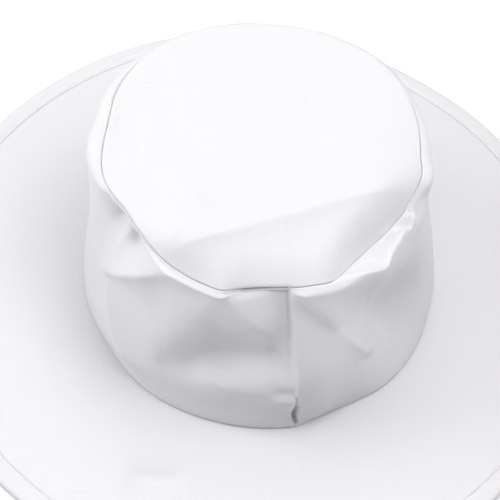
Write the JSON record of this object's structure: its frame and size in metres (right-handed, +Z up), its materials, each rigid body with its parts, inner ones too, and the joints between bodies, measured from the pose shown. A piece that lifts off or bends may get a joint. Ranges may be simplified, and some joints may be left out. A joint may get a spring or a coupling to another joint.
{
  "type": "beekeeper hat",
  "caption": "Soft white beekeeper hat: round flat-topped crown with puckered folds and a vertical seam, and a wide round brim edged with a folded hem.",
  "frame": {"origin": "centre of the brim's rim on the plane that the hem rests on", "axes": "+Z up the crown to the top panel, -Y to the side with the crown's vertical seam, +X to the right as seen by a viewer who faces that seam"},
  "size_m": [0.36, 0.36, 0.1319],
  "materials": {
    "white_cloth": "plain woven, matt"
  },
  "bodies": {
    "root": {"crown_tip": "white_cloth", "side_band": "white_cloth", "brim": "white_cloth", "rim_hem": "white_cloth"}
  },
  "joints": []
}
